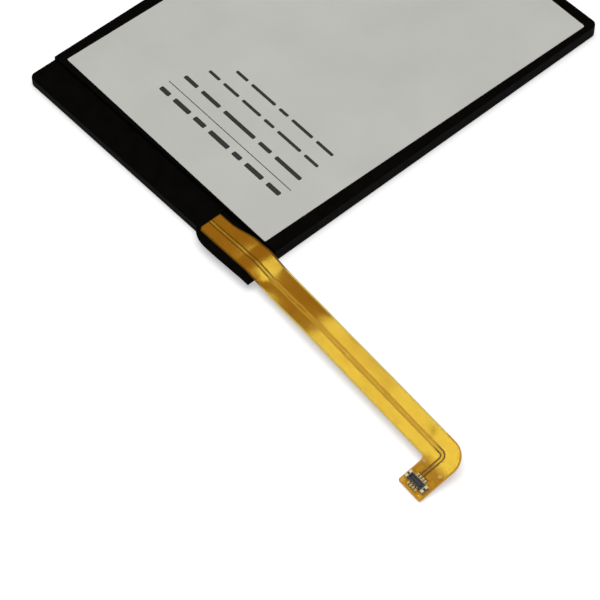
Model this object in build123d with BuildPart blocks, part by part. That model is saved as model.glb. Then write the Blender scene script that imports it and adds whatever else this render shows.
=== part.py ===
from math import cos, radians, sin, tan
import os

from build123d import *

# Mobile phone battery: a flat pouch cell in black film with its protection board at the +Y end
# and a flexible printed circuit that leaves over the -X side and ends in a small connector.
# The pack lies on its back, +Z up. The origin is the centre of the back face.

# Pack, outside the wrap
pack_width = 61.0
pack_length = 86.0
pack_thickness = 3.1
board_end_length = 5.95
board_end_thickness = 2.3
wrap_thickness = 0.1
wrap_corner_radius = 1.2
wrap_edge_radius = 0.4
film_clearance = 0.02

# Pouch cell
side_seal_thickness = 0.35
side_seal_height = 1.9
cell_corner_radius = 1.6
cell_edge_radius = 0.5
terrace_length = 3.0
terrace_thickness = 0.3
terrace_inset = 2.5

# Cell tabs, their sealing films and the nickel leads
tab_width = 4.0
tab_thickness = 0.08
tab_offset = 0.262 * pack_width
tab_reach = 2.0
tab_rise = 0.5
tab_return = 3.2
tab_bend_radius = 0.2
tab_film_width = 6.0
tab_film_length = 0.7
lead_thickness = 0.08
lead_width = 3.6
lead_length = 2.6
lead_bend_radius = 0.15

# Protection board
board_width = 4.4
board_thickness = 0.6
board_end_gap = 2.0
board_side_gap = 0.5
board_corner_radius = 0.4
cover_sheet_gap = 0.6
pad_length = 20.0
pad_width = 2.2

# Parts under the board: length, width and height of each body, and its place along the board
ic_size = (1.8, 1.4, 0.5)
mosfet_size = (3.0, 2.6, 0.55)
fuse_size = (4.2, 2.4, 0.75)
thermistor_size = (1.0, 0.5, 0.45)
chip_size = (1.0, 0.5, 0.4)
ic_place = -0.07 * pack_width
mosfet_pitch = 3.6
mosfet_place = 0.0
fuse_place = 0.374 * pack_width
thermistor_place = -0.156 * pack_width
chip_pitch = 1.7
resistor_count = 4
resistor_start = 0.118 * pack_width
capacitor_count = 3
capacitor_start = -0.402 * pack_width
chip_edge = 0.08

# Label, turned a little on the pack as it was stuck on
label_width = 56.0
label_length = 77.5
label_thickness = 0.1
label_corner_radius = 0.3
label_side_margin = 2.7
label_end_margin = 0.07
label_turn = -1.2

# Flexible circuit: two films with copper between them
film_thickness = 0.05
copper_thickness = 0.04
layer_gap = 0.015
flex_left = 2.63
flex_right = 2.92
flex_swell = 0.42
swell_length = 22.0
flex_root_width = 4.95
flex_overhang = 0.12
flex_hidden_root = 7.8
root_window = 13.2
flare_start = 10.5
flare_end = 3.5
copper_margin = 0.3
trace_width = 0.42
trace_gap = 0.26
trace_corner_radius = 1.0
trace_leg_shift = -0.32
flex_inner_radius = 0.7
flex_outer_radius = 3.9
leg_corner_radius = 0.45
leg_centre = 9.54
leg_reach = 8.3
run_length = 40.5
run_lift = 0.54
turn_start = -1.5
run_turn = 4.2
solder_length = 4.6
solder_end_gap = 0.8

# Backing tab: black film under the flexible circuit
tab_film_thickness = 0.1
backing_side_overhang = 1.6
backing_end_overhang = 1.95
backing_root = 14.0
backing_knee = 12.9
backing_knee_fall = 0.95
backing_shoulder = 6.4
backing_end_taper = 0.2
backing_inner_gap = 0.1
backing_flap_width = 6.3
backing_droop = 6.0

# Connector on the leg
connector_place = 6.35
housing_length = 3.3
housing_width = 1.2
housing_height = 0.62
housing_wall = 0.24
moat_depth = 0.3
island_width = 0.26
contact_count = 4
contact_pitch = 0.6
contact_width = 0.28
contact_thickness = 0.1
contact_foot = 0.65
contact_height = 0.5
power_contact_length = 0.58
power_contact_width = 1.4
power_contact_height = 0.5
power_window = 0.42
stiffener_thickness = 0.18
stiffener_margin = 0.25
stiffener_length = 4.2
pad_margin = 0.1
test_pad_radius = 0.36
test_pad_height = 0.02
test_pad_place = 3.0
test_pad_spread = 2.0

# Levels and places worked out from the sizes above
side_x = -pack_width / 2
end_y = pack_length / 2
cell_end_y = end_y - board_end_length
flex_thickness = 2 * film_thickness + copper_thickness + 2 * layer_gap
cover_level = board_end_thickness - wrap_thickness
seat_level = cover_level - flex_thickness - film_clearance / 2
board_top = seat_level - tab_film_thickness
board_bottom = board_top - board_thickness
terrace_bottom = wrap_thickness + film_clearance
terrace_top = terrace_bottom + terrace_thickness
board_y = cell_end_y + board_side_gap + board_width / 2
terrace_width = pack_width - 2 * terrace_inset
hidden_inset = flex_overhang + wrap_edge_radius + film_clearance
trace_y = end_y + flex_overhang - flex_left
copper_level = film_thickness + layer_gap
copper_top = copper_level + copper_thickness
cover_level_on_flex = copper_top + layer_gap
plane_edge = trace_width / 2 + trace_gap
root_edge = flex_left - flex_root_width
plane_left = flex_left - copper_margin
plane_right = flex_right - copper_margin

os.makedirs("parts", exist_ok=True)


def save(piece, name):
    """Label the piece and write it as a STEP file of the same name."""
    piece.part.label = name
    export_step(piece.part, f"parts/{name}.step")


def rounded_block(x_low, x_high, y_low, y_high, z_low, z_high, corner, edge):
    """A block with rounded upright corners and softly rounded top and bottom edges."""
    with BuildPart() as block:
        with BuildSketch(Plane.XY.offset(z_low)):
            with Locations(((x_low + x_high) / 2, (y_low + y_high) / 2)):
                RectangleRounded(x_high - x_low, y_high - y_low, corner)
        extrude(amount=z_high - z_low)
        if edge > 0:
            fillet(block.faces().sort_by(Axis.Z)[-1].edges(), edge)
            fillet(block.faces().sort_by(Axis.Z)[0].edges(), edge)
    return block.part


# Pouch cell: the drawn pouch, its flat terrace and the two folded side seals, in one sealed piece
cell_x = pack_width / 2 - wrap_thickness - film_clearance
cell_y_low = -end_y + wrap_thickness + film_clearance
cell_y_high = cell_end_y - wrap_thickness - film_clearance
cell_z_low = wrap_thickness + film_clearance
cell_z_high = pack_thickness - wrap_thickness - film_clearance
with BuildPart() as pouch_cell:
    add(
        rounded_block(
            -cell_x + side_seal_thickness,
            cell_x - side_seal_thickness,
            cell_y_low,
            cell_y_high,
            cell_z_low,
            cell_z_high,
            cell_corner_radius,
            cell_edge_radius,
        )
    )
    with BuildSketch(Plane.XY.offset(terrace_bottom)):
        with Locations((0, cell_end_y)):
            Rectangle(terrace_width, 2 * terrace_length)
    extrude(amount=terrace_thickness)
    with BuildSketch(Plane.XY.offset(cell_z_low + cell_edge_radius)):
        for side in (-1, 1):
            with Locations((side * (cell_x - side_seal_thickness), (cell_y_low + cell_y_high) / 2)):
                Rectangle(2 * side_seal_thickness, cell_y_high - cell_y_low - 2 * cell_corner_radius)
    extrude(amount=side_seal_height)
save(pouch_cell, "pouch_cell")

# Black film wrapped round the whole cell, with a slot at the board end for the terrace
with BuildPart() as cell_wrap:
    add(
        rounded_block(
            -pack_width / 2,
            pack_width / 2,
            -end_y,
            end_y,
            0,
            pack_thickness,
            wrap_corner_radius,
            wrap_edge_radius,
        )
    )
    split(bisect_by=Plane.XZ.offset(-cell_end_y), keep=Keep.TOP)
    fillet(cell_wrap.edges().group_by(Axis.Y)[-1].sort_by(Axis.Z)[-1], wrap_edge_radius / 2)
    add(
        rounded_block(
            -pack_width / 2 + wrap_thickness,
            pack_width / 2 - wrap_thickness,
            -end_y + wrap_thickness,
            cell_end_y - wrap_thickness,
            wrap_thickness,
            pack_thickness - wrap_thickness,
            wrap_corner_radius - wrap_thickness,
            wrap_edge_radius - wrap_thickness,
        ),
        mode=Mode.SUBTRACT,
    )
    with BuildSketch(Plane.XZ.offset(-cell_end_y)):
        with Locations((0, terrace_bottom + terrace_thickness / 2)):
            Rectangle(terrace_width + 2 * film_clearance, terrace_thickness + 2 * film_clearance)
    extrude(amount=wrap_thickness + wrap_edge_radius, mode=Mode.SUBTRACT)
save(cell_wrap, "cell_wrap")

# Black cap of film round the thinner board end. It is cut down where the flexible circuit lies
# bare, and slotted where the backing tab comes out.
with BuildPart() as end_wrap:
    add(
        rounded_block(
            -pack_width / 2,
            pack_width / 2,
            -end_y,
            end_y,
            0,
            board_end_thickness,
            wrap_corner_radius,
            wrap_edge_radius,
        )
    )
    add(
        rounded_block(
            -pack_width / 2 + wrap_thickness,
            pack_width / 2 - wrap_thickness,
            -end_y + wrap_thickness,
            end_y - wrap_thickness,
            wrap_thickness,
            board_end_thickness - wrap_thickness,
            wrap_corner_radius - wrap_thickness,
            wrap_edge_radius - wrap_thickness,
        ),
        mode=Mode.SUBTRACT,
    )
    split(bisect_by=Plane.XZ.offset(-cell_end_y), keep=Keep.BOTTOM)
    with BuildSketch(Plane.XY.offset(board_top)):
        with Locations((side_x + root_window / 2, end_y)):
            Rectangle(root_window, 4 * board_end_length)
    extrude(amount=board_end_thickness, mode=Mode.SUBTRACT)
    with BuildSketch(Plane.XY.offset(board_top)):
        with Locations((side_x + backing_root / 2, end_y)):
            Rectangle(backing_root + 2 * film_clearance, 4 * wrap_thickness)
    extrude(amount=tab_film_thickness, mode=Mode.SUBTRACT)
save(end_wrap, "end_wrap")

# Cell tabs: each leaves the terrace, turns up at the end wall and folds back over the terrace
tab_centre_z = terrace_bottom + terrace_thickness / 2
terrace_y = cell_end_y + terrace_length
tab_bend_y = terrace_y + tab_reach
tab_top_z = tab_centre_z + tab_rise


def folded_tab(x):
    """The strip of one cell tab, centred on x."""
    with BuildPart() as strip:
        with BuildSketch(Plane.YZ.offset(x)):
            with BuildLine():
                FilletPolyline(
                    (terrace_y, tab_centre_z),
                    (tab_bend_y, tab_centre_z),
                    (tab_bend_y, tab_top_z),
                    (tab_bend_y - tab_return, tab_top_z),
                    radius=tab_bend_radius,
                )
            trace(line_width=tab_thickness)
        extrude(amount=tab_width / 2, both=True)
    return strip.part


def tab_film(x):
    """The sealing film of one tab, a flat collar round the strip where it leaves the terrace."""
    with BuildPart() as collar:
        with BuildSketch(Plane.XZ.offset(-terrace_y)):
            with Locations((x, tab_centre_z)):
                Rectangle(tab_film_width, terrace_thickness)
                Rectangle(tab_width, tab_thickness, mode=Mode.SUBTRACT)
        extrude(amount=-tab_film_length)
    return collar.part


def nickel_lead(x):
    """A folded nickel lead: soldered under the board above, welded on the cell tab below."""
    low = tab_top_z + tab_thickness / 2 + lead_thickness / 2
    high = board_bottom - lead_thickness / 2
    fold_y = tab_bend_y - tab_bend_radius - lead_thickness
    with BuildPart() as lead:
        with BuildSketch(Plane.YZ.offset(x)):
            with BuildLine():
                FilletPolyline(
                    (fold_y - lead_length, high),
                    (fold_y, high),
                    (fold_y, low),
                    (fold_y - lead_length, low),
                    radius=lead_bend_radius,
                )
            trace(line_width=lead_thickness)
        extrude(amount=lead_width / 2, both=True)
    return lead.part


with BuildPart() as positive_tab:
    add(folded_tab(tab_offset))
save(positive_tab, "positive_tab")

with BuildPart() as negative_tab:
    add(folded_tab(-tab_offset))
save(negative_tab, "negative_tab")

with BuildPart() as positive_tab_film:
    add(tab_film(tab_offset))
save(positive_tab_film, "positive_tab_film")

with BuildPart() as negative_tab_film:
    add(tab_film(-tab_offset))
save(negative_tab_film, "negative_tab_film")

with BuildPart() as positive_lead:
    add(nickel_lead(tab_offset))
save(positive_lead, "positive_lead")

with BuildPart() as negative_lead:
    add(nickel_lead(-tab_offset))
save(negative_lead, "negative_lead")

# Foam pad on the terrace between the two tabs
with BuildPart() as terrace_pad:
    with BuildSketch(Plane.XY.offset(terrace_top)):
        with Locations((0, cell_end_y + film_clearance + pad_width / 2)):
            Rectangle(pad_length, pad_width)
    extrude(amount=board_bottom - mosfet_size[2] - film_clearance - terrace_top)
save(terrace_pad, "terrace_pad")

# Protection board
board_length = pack_width - 2 * board_end_gap
with BuildPart() as protection_board:
    with BuildSketch(Plane.XY.offset(board_bottom)):
        with Locations((0, board_y)):
            RectangleRounded(board_length, board_width, board_corner_radius)
    extrude(amount=board_thickness)
save(protection_board, "protection_board")


def under_board(size, x):
    """A plain chip body on the underside of the board."""
    length, width, height = size
    with BuildPart() as body:
        with BuildSketch(Plane.XY.offset(board_bottom - height)):
            with Locations((x, board_y)):
                Rectangle(length, width)
        extrude(amount=height)
        chamfer(body.faces().sort_by(Axis.Z)[0].edges(), chip_edge)
    return body.part


with BuildPart() as protection_ic:
    add(under_board(ic_size, ic_place))
save(protection_ic, "protection_ic")

with BuildPart() as mosfet_a:
    add(under_board(mosfet_size, mosfet_place))
save(mosfet_a, "mosfet_a")

with BuildPart() as mosfet_b:
    add(under_board(mosfet_size, mosfet_place + mosfet_pitch))
save(mosfet_b, "mosfet_b")

with BuildPart() as thermal_fuse:
    add(under_board(fuse_size, fuse_place))
save(thermal_fuse, "thermal_fuse")

with BuildPart() as thermistor:
    add(under_board(thermistor_size, thermistor_place))
save(thermistor, "thermistor")

with BuildPart() as board_resistors:
    for index in range(resistor_count):
        add(under_board(chip_size, resistor_start + index * chip_pitch))
save(board_resistors, "board_resistors")

with BuildPart() as board_capacitors:
    for index in range(capacitor_count):
        add(under_board(chip_size, capacitor_start + index * chip_pitch))
save(board_capacitors, "board_capacitors")

# Insulating sheet over the board, beside the root of the flexible circuit
root_end_x = side_x + root_window + flex_hidden_root
sheet_start_x = root_end_x + cover_sheet_gap
sheet_end_x = pack_width / 2 - board_end_gap
with BuildPart() as board_cover_sheet:
    with BuildSketch(Plane.XY.offset(board_top)):
        with Locations(((sheet_start_x + sheet_end_x) / 2, board_y)):
            Rectangle(sheet_end_x - sheet_start_x, board_width)
    extrude(amount=cover_level - board_top)
save(board_cover_sheet, "board_cover_sheet")

# Label, turned on the pack about its corner beside the flexible circuit
label_corner = (side_x + label_side_margin, cell_end_y - label_end_margin)
with BuildPart() as label:
    with BuildSketch(Plane.XY.offset(pack_thickness)):
        with Locations(Location((*label_corner, 0), (0, 0, label_turn))):
            with Locations((label_width / 2, -label_length / 2)):
                RectangleRounded(label_width, label_length, label_corner_radius)
    extrude(amount=label_thickness)
save(label, "label")

# Backing tab: a film lying on the board under the flexible circuit, with a rounded shoulder that
# stands out past the end of the pack and a flap that droops past its side
backing_x_root = side_x + backing_root
backing_x_tip = side_x - backing_side_overhang
backing_y_out = end_y + backing_end_overhang
backing_y_in = cell_end_y + backing_inner_gap
with BuildPart() as flex_backing_tab:
    with BuildSketch(Plane.XZ.offset(-backing_y_out)):
        with BuildLine():
            droop_fall = backing_side_overhang * tan(radians(backing_droop))
            Polyline(
                (backing_x_root, board_top),
                (side_x, board_top),
                (backing_x_tip, board_top - droop_fall),
                (backing_x_tip, board_top - droop_fall + tab_film_thickness),
                (side_x, board_top + tab_film_thickness),
                (backing_x_root, board_top + tab_film_thickness),
                close=True,
            )
        make_face()
    extrude(amount=backing_y_out - backing_y_in)
    with BuildSketch(Plane.XY):
        with BuildLine():
            Polyline(
                (backing_x_root, end_y - wrap_thickness),
                (backing_x_root, backing_y_in),
                (side_x, backing_y_in),
                (side_x, backing_y_out - backing_flap_width),
                (backing_x_tip, backing_y_out - backing_flap_width),
                (backing_x_tip, backing_y_out - backing_end_taper),
                (side_x + backing_shoulder, backing_y_out),
            )
            Spline(
                (side_x + backing_shoulder, backing_y_out),
                (side_x + backing_knee, backing_y_out - backing_knee_fall),
                (backing_x_root, end_y - wrap_thickness),
                tangents=((1, 0), (0.5, -1)),
            )
        make_face()
    extrude(amount=pack_thickness, mode=Mode.INTERSECT)
save(flex_backing_tab, "flex_backing_tab")


# Flexible circuit. Its line runs along the sense trace. Sketches on it have x across the circuit,
# towards +Y, and y along it, away from the pack. Left is the +Y edge and right the -Y edge.
def circuit_plane(distance, height=0.0, turn=0.0, pitch=0.0, twist=0.0):
    """The circuit's plane at a distance past the pack's side and a height over its seat."""
    side_shift = max(0.0, distance - turn_start) * tan(radians(run_turn))
    along = Vector(
        -cos(radians(turn)) * cos(radians(pitch)),
        sin(radians(turn)) * cos(radians(pitch)),
        sin(radians(pitch)),
    )
    level = Vector(sin(radians(turn)), cos(radians(turn)), 0)
    upright = level.cross(along)
    across = level * cos(radians(twist)) - upright * sin(radians(twist))
    normal = upright * cos(radians(twist)) + level * sin(radians(twist))
    origin = (side_x - distance, trace_y + side_shift, seat_level + height)
    return Plane(origin=origin, x_dir=across, z_dir=normal)


# Stations of the free run: distance, height, turn, pitch and twist. The circuit buckles up a little
# off its backing tab before the pack's side, dips past it, rises again and twists, so that the leg
# hangs down.
flex_stations = (
    (-flare_end, 0.0, 0.0, 0.0, 0.0),
    (-0.83 * flare_end, 0.085 * run_lift, 0.0, 4.5, 0.2),
    (-0.57 * flare_end, 0.26 * run_lift, 0.0, 7.5, 1.2),
    (-0.34 * flare_end, 0.41 * run_lift, run_turn / 4, 1.0, 2.2),
    (0.0, 0.36 * run_lift, run_turn / 2, -4.0, 2.8),
    (0.043 * run_length, 0.07 * run_lift, run_turn, -5.5, 4.0),
    (0.08 * run_length, -0.16 * run_lift, run_turn, -2.5, 5.6),
    (0.125 * run_length, -0.2 * run_lift, run_turn, 1.5, 7.0),
    (0.22 * run_length, 0.1 * run_lift, run_turn, 3.2, 8.2),
    (0.31 * run_length, 0.45 * run_lift, run_turn, 2.6, 8.3),
    (0.39 * run_length, 0.7 * run_lift, run_turn, 1.3, 8.2),
    (0.47 * run_length, 0.8 * run_lift, run_turn, 0.5, 9.0),
    (0.66 * run_length, 0.9 * run_lift, run_turn, 0.4, 12.5),
    (0.84 * run_length, 0.98 * run_lift, run_turn, 0.2, 15.5),
    (0.99 * run_length, run_lift, run_turn, 0.0, 16.0),
    (run_length, run_lift, run_turn, 0.0, 16.0),
)
root_plane = Plane(origin=(side_x, trace_y, seat_level), x_dir=(0, 1, 0), z_dir=(0, 0, 1))
leg_plane = circuit_plane(*flex_stations[-1])


def run_piece(right, left, low, high, swell=0.0):
    """The free run of one layer between two edges, drawn through the stations. The swell is how
    much further out its right edge starts."""
    with BuildPart() as run:
        for station in flex_stations:
            place = circuit_plane(*station)
            run_right = right - swell * max(0.0, 1 - (station[0] + flare_end) / swell_length)
            with BuildSketch(Plane(origin=place.origin, x_dir=place.x_dir, z_dir=-place.y_dir)):
                with Locations(((run_right + left) / 2, (low + high) / 2)):
                    Rectangle(left - run_right, high - low)
        loft()
    return run.part


def root_piece(right_start, right, left, inset, low, high):
    """The flat root of one layer: its right edge flares out to the width of the run, and its
    left edge steps in by the inset where the end wrap covers it."""
    start = -root_window - flex_hidden_root
    step = -root_window + film_clearance
    with BuildPart() as root:
        with BuildSketch(root_plane.offset(low)):
            with BuildLine():
                if right_start == right:
                    Line((right_start, start), (right, -flare_end))
                else:
                    Line((right_start, start), (right_start, -flare_start))
                    Spline(
                        (right_start, -flare_start),
                        (right, -flare_end),
                        tangents=((0, 1), (-0.1, 1)),
                    )
                Line((right, -flare_end), (left, -flare_end))
                if inset > 0:
                    Polyline((left, -flare_end), (left, step), (left - inset, step), (left - inset, start))
                else:
                    Line((left, -flare_end), (left, start))
                Line((left - inset, start), (right_start, start))
            make_face()
        extrude(amount=high - low)
    return root.part


def leg_piece(right, left, inner_radius, outer_radius, end_radius, reach, low, high, shifts=(0, 0)):
    """The L-shaped end of one layer: along the run, round the corner and down the leg. The shifts
    move its right and its left edge along the leg's width, as the sense trace is moved there."""
    low_edge = leg_centre - left + shifts[1]
    high_edge = leg_centre - right + shifts[0]
    with BuildPart() as leg:
        with BuildSketch(leg_plane.offset(low)):
            with BuildLine():
                FilletPolyline((left, 0), (left, low_edge), (reach, low_edge), radius=inner_radius)
                Line((reach, low_edge), (reach, high_edge))
                FilletPolyline((reach, high_edge), (right, high_edge), (right, 0), radius=outer_radius)
                Line((right, 0), (left, 0))
            outline = make_face()
            if end_radius > 0:
                fillet(outline.vertices().sort_by(Axis.X)[-2:], end_radius)
        extrude(amount=high - low)
    return leg.part


# Places of the connector's rows and ends, measured on the leg
contact_row = housing_width / 2 + contact_foot / 2
contact_places = [(index - (contact_count - 1) / 2) * contact_pitch for index in range(contact_count)]
contact_spots = [
    (connector_place + side * contact_row, leg_centre + place)
    for side in (-1, 1)
    for place in contact_places
]
power_row = housing_length / 2 + power_contact_length / 2
power_spots = [(connector_place, leg_centre + side * power_row) for side in (-1, 1)]
power_window_row = power_row + contact_thickness
plane_reach = leg_reach - copper_margin
plane_bay = housing_width + 2 * contact_foot + 2 * trace_gap


def pad_windows(low, height, growth):
    """The soldered places of the connector, as blocks on the leg."""
    with BuildPart() as windows:
        with BuildSketch(leg_plane.offset(low)):
            with Locations(contact_spots):
                Rectangle(contact_foot + 2 * growth, contact_width + 2 * growth)
            with Locations(power_spots):
                Rectangle(power_contact_width + 2 * growth, power_contact_length + 2 * growth)
        extrude(amount=height)
    return windows.part


def connector_bay(low, height):
    """The block of the leg between the wide copper planes, under the connector."""
    with BuildPart() as bay:
        with BuildSketch(leg_plane.offset(low)):
            with Locations((connector_place + plane_bay / 2, leg_centre)):
                Rectangle(2 * plane_bay, housing_length)
        extrude(amount=height)
    return bay.part


def film_leg(low, high):
    """The L-shaped end of one film, at its full outline."""
    return leg_piece(
        -flex_right,
        flex_left,
        flex_inner_radius,
        flex_outer_radius,
        leg_corner_radius,
        leg_reach,
        low,
        high,
    )


with BuildPart() as flex_base_film:
    add(run_piece(-flex_right, flex_left, 0, film_thickness, flex_swell))
    add(root_piece(root_edge, -flex_right - flex_swell, flex_left, hidden_inset, 0, film_thickness))
    add(film_leg(0, film_thickness))
save(flex_base_film, "flex_base_film")

with BuildPart() as flex_cover_film:
    cover_low = cover_level_on_flex
    cover_high = flex_thickness
    root_right = -flex_right - flex_swell
    add(run_piece(-flex_right, flex_left, cover_low, cover_high, flex_swell))
    add(root_piece(root_edge, root_right, flex_left, hidden_inset, cover_low, cover_high))
    add(film_leg(cover_low, cover_high))
    add(pad_windows(cover_low, film_thickness, pad_margin), mode=Mode.SUBTRACT)
save(flex_cover_film, "flex_cover_film")

# Copper between the films: a wide plane on each side of the thin sense trace
with BuildPart() as flex_positive_copper:
    add(run_piece(plane_edge, plane_left, copper_level, copper_top))
    add(root_piece(plane_edge, plane_edge, plane_left, hidden_inset, copper_level, copper_top))
    add(
        leg_piece(
            plane_edge,
            plane_left,
            flex_inner_radius + copper_margin,
            trace_corner_radius - plane_edge,
            0,
            plane_reach,
            copper_level,
            copper_top,
            (trace_leg_shift, 0),
        )
    )
    add(connector_bay(copper_level, copper_thickness), mode=Mode.SUBTRACT)
save(flex_positive_copper, "flex_positive_copper")

with BuildPart() as flex_negative_copper:
    root_start = root_edge + copper_margin
    root_right = -plane_right - flex_swell
    add(run_piece(-plane_right, -plane_edge, copper_level, copper_top, flex_swell))
    add(root_piece(root_start, root_right, -plane_edge, 0, copper_level, copper_top))
    add(
        leg_piece(
            -plane_right,
            -plane_edge,
            trace_corner_radius + plane_edge,
            flex_outer_radius - copper_margin,
            0,
            plane_reach,
            copper_level,
            copper_top,
            (0, trace_leg_shift),
        )
    )
    add(connector_bay(copper_level, copper_thickness), mode=Mode.SUBTRACT)
save(flex_negative_copper, "flex_negative_copper")

trace_reach = connector_place - plane_bay / 2
with BuildPart() as flex_sense_trace:
    trace_half = trace_width / 2
    add(run_piece(-trace_half, trace_half, copper_level, copper_top))
    add(root_piece(-trace_half, -trace_half, trace_half, 0, copper_level, copper_top))
    add(
        leg_piece(
            -trace_half,
            trace_half,
            trace_corner_radius - trace_half,
            trace_corner_radius + trace_half,
            0,
            trace_reach,
            copper_level,
            copper_top,
            (trace_leg_shift, trace_leg_shift),
        )
    )
save(flex_sense_trace, "flex_sense_trace")

# Solder between the root of the flexible circuit and the board, one joint for each conductor
solder_start = -root_window - flex_hidden_root + solder_end_gap
with BuildPart() as flex_root_solder:
    with BuildSketch(root_plane):
        for low_edge, high_edge in (
            (root_edge + copper_margin, -plane_edge),
            (-trace_width / 2, trace_width / 2),
            (plane_edge, plane_left - hidden_inset),
        ):
            with Locations(((low_edge + high_edge) / 2, solder_start + solder_length / 2)):
                Rectangle(high_edge - low_edge, solder_length)
    extrude(amount=-tab_film_thickness)
save(flex_root_solder, "flex_root_solder")

# Plated pads that the connector is soldered to, in the windows of the cover film
with BuildPart() as connector_pads:
    add(pad_windows(cover_level_on_flex, film_thickness, pad_margin - film_clearance))
save(connector_pads, "connector_pads")

# Round test pads on the leg
with BuildPart() as flex_test_pads:
    with BuildSketch(leg_plane.offset(flex_thickness)):
        with Locations(
            (test_pad_place, leg_centre - test_pad_spread),
            (test_pad_place, leg_centre + test_pad_spread),
        ):
            Circle(test_pad_radius)
    extrude(amount=test_pad_height)
save(flex_test_pads, "flex_test_pads")

# Stiffener plate under the connector
stiffener_width = flex_left + flex_right - 2 * stiffener_margin
stiffener_centre = (
    leg_reach - stiffener_margin - stiffener_length / 2,
    leg_centre + (flex_right - flex_left) / 2,
)
with BuildPart() as connector_stiffener:
    with BuildSketch(leg_plane):
        with Locations(stiffener_centre):
            RectangleRounded(stiffener_length, stiffener_width, leg_corner_radius)
    extrude(amount=-stiffener_thickness)
save(connector_stiffener, "connector_stiffener")

# Connector body: a moulded block with a moat round a middle bar
with BuildPart() as connector_housing:
    with BuildSketch(leg_plane.offset(flex_thickness)):
        with Locations((connector_place, leg_centre)):
            Rectangle(housing_width, housing_length)
    extrude(amount=housing_height)
    with BuildSketch(leg_plane.offset(flex_thickness + housing_height - moat_depth)):
        with Locations((connector_place, leg_centre)):
            Rectangle(housing_width - 2 * housing_wall, housing_length - 2 * housing_wall)
            Rectangle(island_width, housing_length - 4 * housing_wall, mode=Mode.SUBTRACT)
    extrude(amount=moat_depth, mode=Mode.SUBTRACT)
save(connector_housing, "connector_housing")

# Signal contacts: a foot on the pad and an upright against the body
with BuildPart() as connector_signal_contacts:
    for side in (-1, 1):
        foot_start = connector_place + side * housing_width / 2
        foot_middle = foot_start + side * contact_foot / 2
        upright_middle = foot_start + side * contact_thickness / 2
        with BuildSketch(leg_plane.offset(flex_thickness)):
            with Locations([(foot_middle, leg_centre + place) for place in contact_places]):
                Rectangle(contact_foot, contact_width)
        extrude(amount=contact_thickness)
        with BuildSketch(leg_plane.offset(flex_thickness)):
            with Locations([(upright_middle, leg_centre + place) for place in contact_places]):
                Rectangle(contact_thickness, contact_width)
        extrude(amount=contact_height)
save(connector_signal_contacts, "connector_signal_contacts")

# Power contacts: a stout metal clip at each end of the body
with BuildPart() as connector_power_contacts:
    with BuildSketch(leg_plane.offset(flex_thickness)):
        with Locations(power_spots):
            Rectangle(power_contact_width, power_contact_length)
    extrude(amount=power_contact_height)
    with BuildSketch(leg_plane.offset(flex_thickness + contact_thickness)):
        with Locations([(connector_place, leg_centre + side * power_window_row) for side in (-1, 1)]):
            Rectangle(power_window, power_contact_length)
    extrude(amount=power_contact_height, mode=Mode.SUBTRACT)
save(connector_power_contacts, "connector_power_contacts")
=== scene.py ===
"""Mobile phone battery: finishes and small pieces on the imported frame, its stage and camera."""

import math

import bmesh
import bpy
from mathutils import Matrix, Vector


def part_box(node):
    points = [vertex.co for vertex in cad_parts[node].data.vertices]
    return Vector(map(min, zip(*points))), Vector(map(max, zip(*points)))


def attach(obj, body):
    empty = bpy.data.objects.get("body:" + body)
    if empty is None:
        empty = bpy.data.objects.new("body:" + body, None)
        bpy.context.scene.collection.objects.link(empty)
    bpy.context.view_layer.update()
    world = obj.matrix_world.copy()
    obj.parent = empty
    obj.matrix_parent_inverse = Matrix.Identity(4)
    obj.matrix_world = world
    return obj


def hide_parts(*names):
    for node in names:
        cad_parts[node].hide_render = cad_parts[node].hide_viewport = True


bl_info = {
    "name": "Mobile phone battery",
    "version": (1, 0, 0),
    "blender": (4, 5, 0),
    "location": "3D View > Sidebar > Battery",
    "description": "Finishes a flat phone battery with its label and flexible circuit",
    "category": "Object",
}

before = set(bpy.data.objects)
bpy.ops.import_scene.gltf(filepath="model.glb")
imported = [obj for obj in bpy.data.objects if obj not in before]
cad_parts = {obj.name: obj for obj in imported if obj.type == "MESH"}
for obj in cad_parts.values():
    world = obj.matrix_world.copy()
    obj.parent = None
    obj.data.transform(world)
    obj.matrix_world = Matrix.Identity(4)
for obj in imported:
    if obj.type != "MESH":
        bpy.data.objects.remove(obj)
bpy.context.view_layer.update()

MM = 0.001
BODY = "root"
LAYOUT = "layout"

# Camera, from the photograph's vanishing lines, in m, degrees and, for its lens, mm
CAMERA_PLACE = (-0.230166, 0.210960, 0.343221)
CAMERA_AZIMUTH = 228.017
CAMERA_ELEVATION = 53.220
CAMERA_LENS = 150.0
CAMERA_SENSOR = 36.0

# Floor: how much whiter it looks than its lit colour, and how far it lies under the pack, in m
FLOOR_LIFT = 0.42
FLOOR_DROP = 0.00002

# Lamp and room: where the lamp hangs, in m, the brightness at the horizon, and how high over it
# the light starts and ends to fade
LAMP_PLACE = (-0.03, 0.02)
HORIZON_LIGHT = 0.85
HORIZON_HEIGHT = 0.1
SKY_HEIGHT = 0.5

# Print rows on the label, in mm: left end, top, height, and the widths of the bars with their gap
PRINT_ROWS = (
    (6.2, 8.1, 1.0, (3.4, 4.6, 2.2, 5.2, 3.0, 4.4, 2.6), 1.3),
    (6.4, 13.2, 0.85, (6.8, 3.2, 8.4, 5.0, 3.6), 1.3),
    (6.6, 17.5, 0.65, (3.6, 6.2, 2.6, 5.0, 4.2, 3.0), 1.1),
    (6.8, 21.2, 0.65, (4.4, 5.6, 2.4, 6.6, 3.2), 1.1),
)
# The thin line under the first row: left end, top, width, height and corner radius
PRINT_LINE = (5.6, 10.6, 34.0, 0.16, 0.032)

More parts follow.
